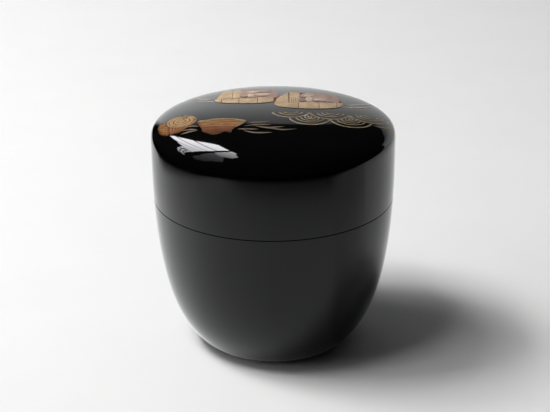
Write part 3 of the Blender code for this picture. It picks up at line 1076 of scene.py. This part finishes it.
def build_haze():
    """Far floor that lightens into the background, so that it has no dark edge from any side."""
    material, tree, surface = bare_material("haze")
    distance = tree.nodes.new("ShaderNodeVectorMath")
    distance.operation = "LENGTH"
    tree.links.new(tree.nodes.new("ShaderNodeTexCoord").outputs["Object"], distance.inputs[0])
    fade = tree.nodes.new("ShaderNodeMapRange")
    fade.interpolation_type = "SMOOTHSTEP"
    fade.inputs["From Min"].default_value = HAZE_START * MM
    fade.inputs["From Max"].default_value = HAZE_FULL * MM
    tree.links.new(distance.outputs["Value"], fade.inputs["Value"])
    light = tree.nodes.new("ShaderNodeEmission")
    light.inputs["Color"].default_value = BACKGROUND
    blend = tree.nodes.new("ShaderNodeMixShader")
    tree.links.new(fade.outputs["Result"], blend.inputs["Fac"])
    tree.links.new(tree.nodes.new("ShaderNodeBsdfTransparent").outputs[0], blend.inputs[1])
    tree.links.new(light.outputs[0], blend.inputs[2])
    tree.links.new(blend.outputs[0], surface)
    bm = bmesh.new()
    turn = np.linspace(0, 2 * math.pi, 96, endpoint=False)
    join_rings(bm, [
        [bm.verts.new((r * MM * math.cos(a), r * MM * math.sin(a), HAZE_Z * MM)) for a in turn]
        for r in (HAZE_START, HAZE_REACH)
    ])
    haze = seen_only_by(piece_from(bm, "haze", material), "camera")


def backdrop_rows(bm, columns, top, count=33):
    """Rows of points up the sweep, with their elevation above the lid."""
    rows = []
    for t in np.linspace(0, 1, count):
        angle = math.pi / 2 * t
        y = SWEEP_START + SWEEP_DEPTH * math.sin(angle)
        lift = 1 - math.cos(angle)
        row = []
        for x in columns:
            z = along(top, x) * lift
            elevation = math.degrees(math.atan2(z - HEIGHT, math.hypot(x, y)))
            row.append((bm.verts.new((x * MM, y * MM, z * MM)), elevation))
        rows.append(row)
    for a, b in zip(rows, rows[1:]):
        for i in range(len(columns) - 1):
            bm.faces.new((a[i][0], a[i + 1][0], b[i + 1][0], b[i][0]))
    return rows


def build_backdrop(white):
    bm = bmesh.new()
    backdrop_rows(bm, np.linspace(-900, 900, 37), BACKDROP_TOP)
    backdrop = piece_from(bm, "backdrop", white)
    backdrop.visible_glossy = False


# Top edge of the mirrored backdrop: x and height
MIRRORED_TOP = (
    (-900, 420), (-175, 337), (-86, 316), (-59, 317), (-31, 321), (0, 325), (23, 326), (42, 328),
    (65, 325), (83, 321), (98, 311), (113, 306), (133, 300), (151, 298), (179, 298), (250, 325),
    (342, 368), (518, 384), (900, 420))
# Brightness of the mirrored backdrop by elevation, and its share by azimuth
BACKDROP_GLOW = (
    (-8, 1.12), (6, 1.12), (10, 1.08), (13, 1.02), (15, 0.92), (17, 0.78), (19, 0.60), (21, 0.44),
    (23, 0.33), (26, 0.28))
BACKDROP_SHARE = (
    (40, 0.60), (66, 0.62), (75, 0.66), (83, 0.74), (90, 0.95), (97, 1.0), (109, 1.1), (113, 0.0))
PAPER_TINT = (0.985, 0.995, 1.0)
PANE_TINT = (0.985, 0.965, 1.0)


def build_reflected_backdrop():
    sheet = Mirrored()
    columns = np.concatenate([np.linspace(-330, 330, 45), [430, 560, 720, 900]])
    for row in backdrop_rows(sheet.bm, columns, MIRRORED_TOP, 49):
        for vert, elevation in row:
            azimuth = math.degrees(math.atan2(vert.co.y, vert.co.x))
            bright = along(BACKDROP_GLOW, elevation) * along(BACKDROP_SHARE, azimuth)
            sheet.paint(vert, bright, PAPER_TINT)
    sheet.finish("reflected_backdrop", smooth=True)


LIT_FULLY = 0.92  # brightness above this is drawn as glow, whatever the lights do
LIGHT_TINT = (0.9, 0.893, 0.88)  # divides the lit sheet's tone, which makes it slightly blue
MIDDLE_DIM = 0.22  # how much the sheet darkens away from the caddy
MIDDLE_START = 100
MIDDLE_FADE = 55
NEAR_REACH = 300  # a sheet that ends within this darkens so
REFLECTED_FLOOR_Z = 0.00001


def soft_edge(beyond, softness):
    """What the brightness is divided by, at a distance beyond an edge."""
    return 1 + math.exp(min(40.0, beyond / softness))


def build_reflected_floor():
    sheet = Mirrored()
    rings = []
    far = [260, 300, 350, 430, 520, 700, 900, 1100]
    for distance in list(np.linspace(18.5, 60, 43)) + list(np.linspace(62, 240, 90)) + far:
        ring = []
        for azimuth in range(0, 360, 3):
            a = math.radians(azimuth)
            x, y = distance * math.cos(a) * MM, distance * math.sin(a) * MM
            vert = sheet.bm.verts.new((x, y, REFLECTED_FLOOR_Z))
            reach = along(SHEET_REACH, azimuth)
            bright = along(SHEET_GLOW, azimuth)
            bright /= soft_edge(distance - reach, along(SHEET_SOFTNESS, azimuth))
            middle = min(1.0, max(0.0, (distance - MIDDLE_START) / MIDDLE_FADE))
            bright *= 1 - MIDDLE_DIM * middle * (reach < NEAR_REACH)
            drawn = along(SHADE_DRAWN, azimuth)
            edge, soft, extra = (along([(row[0], row[k]) for row in FOOT_SHADE], azimuth) for k in (1, 2, 3))
            near = 1 + extra * math.exp(-max(0.0, distance - edge) / FOOT_LIGHT_FADE)
            near /= soft_edge(edge - distance, soft)
            shaded = min(bright, LIT_FULLY) * (1 - drawn)
            light = bright * near * drawn + max(0.0, bright - LIT_FULLY) * (1 - drawn)
            tone = (shaded * PAPER_ALBEDO / share for share in LIGHT_TINT)
            sheet.paint(vert, light, PAPER_TINT, tone)
            ring.append(vert)
        rings.append(ring)
    join_rings(sheet.bm, rings)
    sheet.finish("reflected_floor")


# Painted reflections of soft-box panes, glowing sheets that only the lacquer mirrors, drawn as azimuth and
# elevation in degrees from the lid: outline, (brightness at the low azimuth, at the high one), bar spacing
# and bar width both ways
PANES = (
    (((98.9, 40.8), (99.2, 35.2), (100.1, 34.1), (103.4, 32.3), (109.0, 28.0), (111.4, 27.0), (112.6, 32.1),
      (116.4, 37.7), (122.0, 43.0), (124.8, 46.0), (117.0, 45.0), (111.5, 44.0), (105.6, 42.9),
      (101.5, 41.4)),
     (8.6, 7.0), (4.6, 0.5), (40.0, 0.0)),
    (((116.8, 37.9), (141.5, 39.0), (154.7, 42.0), (125.6, 45.8), (122.5, 42.8)),
     (7.6, 6.6), (6.4, 2.2), (2.6, 0.7)),
    (((99.0, 42.1), (103.4, 44.0), (106.8, 45.2), (113.0, 53.0), (109.0, 56.4), (103.0, 52.7), (99.0, 44.2)),
     (5.4, 1.4), (2.3, 0.4), (40.0, 0.0)),
    (((108.5, 46.4), (129.7, 51.7), (169.0, 46.5), (176.0, 52.0), (150.0, 66.0), (127.0, 62.0),
      (114.0, 56.0)),
     (0.9, 0.3), (9.0, 0.8), (3.4, 0.3)),
)
PANE_DISTANCE = 1100.0
PANE_STEP = 0.4  # size of a pane's faces, in degrees


def direction(azimuth, elevation):
    a, e = math.radians(azimuth), math.radians(elevation)
    return Vector((math.cos(e) * math.cos(a), math.cos(e) * math.sin(a), math.sin(e)))


def spans(low, high, spacing, width, step):
    """Steps from low to high that leave a bar's width free at every spacing."""
    parts = []
    for start in np.arange(low, high, spacing):
        end = min(high, start + spacing)
        marks = np.linspace(start + width / 2, end - width / 2, max(2, round(spacing / step)))
        parts += list(zip(marks, marks[1:]))
    return [(a, b) for a, b in parts if b > a]


def build_panes():
    for number, (outline, (near, far), (across, across_bar), (up, up_bar)) in enumerate(PANES, 1):
        azimuths, elevations = zip(*outline)
        low, high = min(azimuths), max(azimuths)
        sheet = Mirrored()
        for left, right in spans(low, high, across, across_bar, PANE_STEP):
            for lower, upper in spans(min(elevations), max(elevations), up, up_bar, PANE_STEP):
                if not inside(((left + right) / 2, (lower + upper) / 2), list(outline)):
                    continue
                corners = []
                for azimuth, elevation in ((left, lower), (right, lower), (right, upper), (left, upper)):
                    point = direction(azimuth, elevation) * PANE_DISTANCE + Vector((0, 0, HEIGHT))
                    vert = sheet.bm.verts.new(point * MM)
                    sheet.paint(vert, near + (far - near) * (azimuth - low) / (high - low), PANE_TINT)
                    corners.append(vert)
                sheet.bm.faces.new(corners)
        sheet.finish(f"pane_{number}")


ROOM = (0.006, 0.006, 0.006, 1.0)
MIRRORED_ROOM = (0.011, 0.011, 0.011, 1.0)


def build_world():
    """Pale where the camera looks past the floor, dark where the lacquer mirrors it."""
    world = bpy.data.worlds.new("studio")
    bpy.context.scene.world = world
    world.use_nodes = True
    nodes = world.node_tree.nodes
    links = world.node_tree.links
    path = nodes.new("ShaderNodeLightPath")
    color = ROOM
    for ray, seen in (("Is Glossy Ray", MIRRORED_ROOM), ("Is Camera Ray", BACKGROUND)):
        mix = nodes.new("ShaderNodeMix")
        mix.data_type = "RGBA"
        first, second = [s for s in mix.inputs if s.type == "RGBA"]
        if isinstance(color, tuple):
            first.default_value = color
        else:
            links.new(color, first)
        second.default_value = seen
        links.new(path.outputs[ray], mix.inputs["Factor"])
        color = next(s for s in mix.outputs if s.type == "RGBA")
    links.new(color, nodes["Background"].inputs["Color"])


# azimuth from +X, elevation and watts of the small lamps up at the left
HIGH_PANELS = (
    (150, 50, 0.72), (165, 55, 2.45), (173, 65, 1.29), (185, 56, 1.95), (200, 62, 0.60), (215, 69, 1.18))
# name, azimuth, elevation, watts, distance, width, height
PANELS = [(f"high_panel_{n}", *lamp, 900.0, 160.0, 160.0) for n, lamp in enumerate(HIGH_PANELS, 1)]
PANELS += [
    ("left_panel", 180, 35, 4.4, 1200.0, 1400.0, 700.0),
    ("sky_panel", 90, 88, 0.8, 1300.0, 1600.0, 1600.0)]
LAMP_COLOR = (1.0, 0.997, 0.99)


def build_lights():
    for name, azimuth, elevation, watts, distance, width, height in PANELS:
        towards = direction(azimuth, elevation)
        data = bpy.data.lights.new(name, "AREA")
        data.shape = "RECTANGLE"
        data.size = width * MM
        data.size_y = height * MM
        data.energy = watts
        data.color = LAMP_COLOR
        panel = link(bpy.data.objects.new(name, data))
        panel.location = Vector((0, 0, AIM_Z * MM)) + towards * distance * MM
        panel.rotation_mode = "QUATERNION"
        panel.rotation_quaternion = towards.to_track_quat("Z", "Y")
        panel.visible_glossy = False
        panel.visible_camera = False


def build_stage():
    """A pale floor, a white backdrop, and what the lacquer mirrors."""
    white = paper()
    build_floor(white)
    build_haze()
    build_backdrop(white)
    build_reflected_floor()
    build_reflected_backdrop()
    build_panes()


def main():
    dice = random.Random(SEED)
    build_camera()
    build_coats()
    build_hat(dice)
    build_raincoat(dice)
    build_blades()
    build_boat("near", NEAR_BOAT, dice)
    build_boat("far", FAR_BOAT, dice)
    build_waves()
    build_water()
    build_stage()
    build_world()
    build_lights()
    bpy.context.scene.view_settings.view_transform = "Standard"


main()
